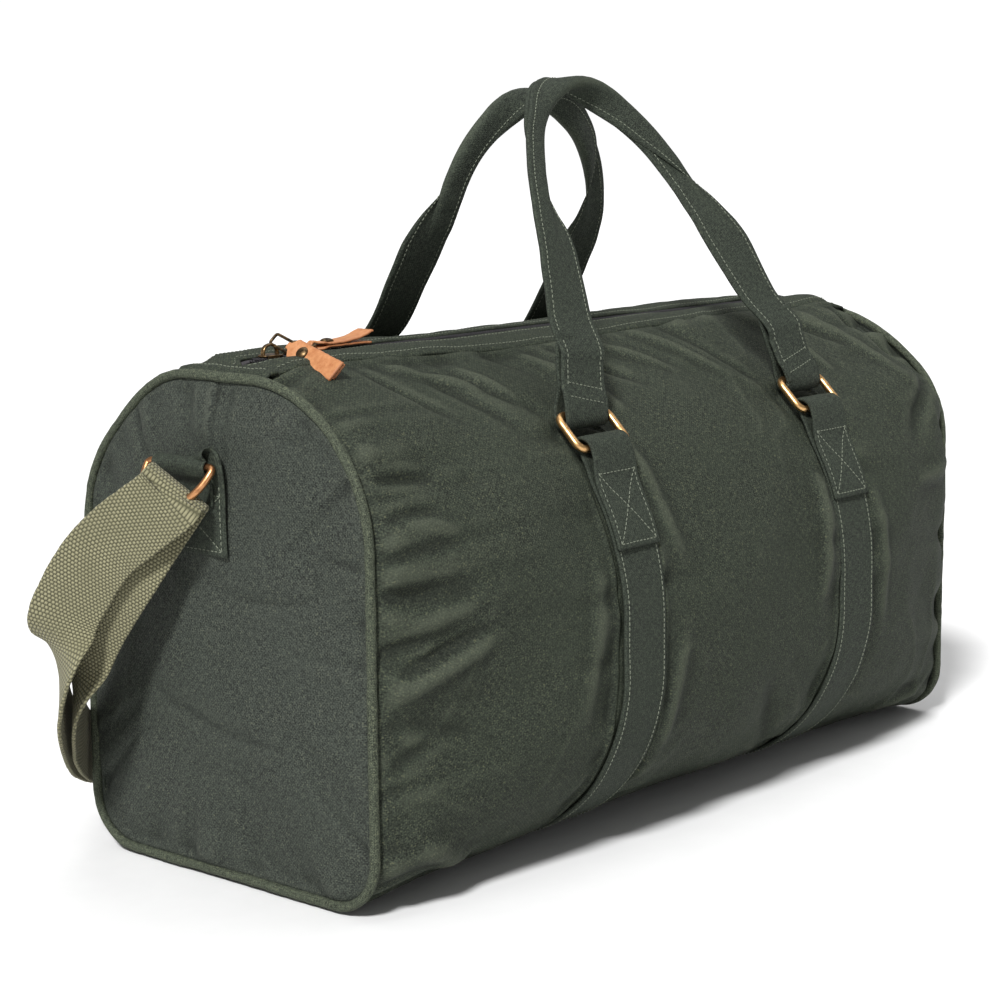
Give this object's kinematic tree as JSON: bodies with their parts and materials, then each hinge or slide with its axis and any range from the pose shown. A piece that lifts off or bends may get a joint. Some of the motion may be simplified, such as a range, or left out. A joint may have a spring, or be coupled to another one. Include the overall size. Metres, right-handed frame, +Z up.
{
  "type": "duffel bag",
  "caption": "Soft canvas duffel bag with a zipped top, wrap-round straps, hinged carrying handles on metal rings and an adjustable webbing shoulder strap.",
  "frame": {"origin": "centre of the underside, on the plane the bag stands on, midway between its ends and its two long sides", "axes": "+X along the bag's length from the end where the zip sliders are parked to the other end, +Y from the front to the back, +Z up"},
  "size_m": [0.7481, 0.3746, 0.4487],
  "materials": {
    "canvas": "heathered olive waxed canvas, matte",
    "canvas_dark": "darker olive waxed canvas, matte",
    "piping": "canvas-covered cord, matte",
    "brass": "warm antique brass, satin",
    "dark_brass": "dark antique brass, satin",
    "leather": "tan leather, smooth",
    "zip": "charcoal zip tape and coil",
    "webbing": "coarse woven khaki webbing"
  },
  "bodies": {
    "bag": {"body_wrap": "canvas", "end_panel_near": "canvas", "piping_near": "piping", "seam_binding_near": "canvas_dark", "zip_end_near": "canvas", "wrap_strap_near": "canvas", "end_tab_near": "canvas_dark", "end_panel_far": "canvas", "piping_far": "piping", "seam_binding_far": "canvas_dark", "zip_end_far": "canvas", "wrap_strap_far": "canvas", "end_tab_far": "canvas_dark", "zip_facing_front": "canvas", "zip_tape_front": "zip", "zip_coil_front": "zip", "zip_facing_back": "canvas", "zip_tape_back": "zip", "zip_coil_back": "zip", "shoulder_strap": "webbing", "strap_adjuster": "dark_brass"},
    "front_rings": {"carry_ring_front_near": "brass", "carry_ring_front_far": "brass"},
    "front_handle": {"handle_front": "canvas_dark"},
    "back_rings": {"carry_ring_back_near": "brass", "carry_ring_back_far": "brass"},
    "back_handle": {"handle_back": "canvas_dark"},
    "near_d_ring": {"d_ring_near": "brass"},
    "far_d_ring": {"d_ring_far": "brass"},
    "near_slider": {"zip_slider_near": "dark_brass", "pull_link_near": "dark_brass"},
    "near_pull": {"leather_pull_near": "leather", "pull_rivet_near": "brass"},
    "far_slider": {"zip_slider_far": "dark_brass"},
    "far_pull": {"pull_link_far": "dark_brass", "leather_pull_far": "leather", "pull_rivet_far": "brass"}
  },
  "joints": [
    {"name": "front_ring_swing", "type": "hinge", "parent": "bag", "child": "front_rings", "pos_m": [0, -0.12906, 0.23931], "axis": [1, 0, 0], "range_deg": [0, 90]},
    {"name": "front_handle_swing", "type": "hinge", "parent": "front_rings", "child": "front_handle", "pos_m": [0, -0.1116, 0.25663], "axis": [1, 0, 0], "range_deg": [0, 50]},
    {"name": "back_ring_swing", "type": "hinge", "parent": "bag", "child": "back_rings", "pos_m": [0, 0.12906, 0.23931], "axis": [-1, 0, 0], "range_deg": [0, 90]},
    {"name": "back_handle_swing", "type": "hinge", "parent": "back_rings", "child": "back_handle", "pos_m": [0, 0.1116, 0.25663], "axis": [-1, 0, 0], "range_deg": [0, 50]},
    {"name": "near_d_ring_swing", "type": "hinge", "parent": "bag", "child": "near_d_ring", "pos_m": [-0.306, 0.013, 0.239], "axis": [0, 1, 0], "range_deg": [-5, 3]},
    {"name": "far_d_ring_swing", "type": "hinge", "parent": "bag", "child": "far_d_ring", "pos_m": [0.306, 0.013, 0.239], "axis": [0, -1, 0], "range_deg": [-5, 3]},
    {"name": "near_slider_slide", "type": "slide", "parent": "bag", "child": "near_slider", "axis": [1, 0, 0], "range_m": [-0.006, 0]},
    {"name": "near_pull_lift", "type": "hinge", "parent": "near_slider", "child": "near_pull", "pos_m": [-0.24175, -0.0113, 0.29815], "axis": [-0.9511, -0.309, 0], "range_deg": [0, 68]},
    {"name": "far_slider_slide", "type": "slide", "parent": "bag", "child": "far_slider", "axis": [1, 0, 0], "range_m": [0, 0.469]},
    {"name": "far_pull_lift", "type": "hinge", "parent": "far_slider", "child": "far_pull", "pos_m": [-0.2305, 0, 0.2974], "axis": [0, -1, 0], "range_deg": [0, 80]}
  ]
}
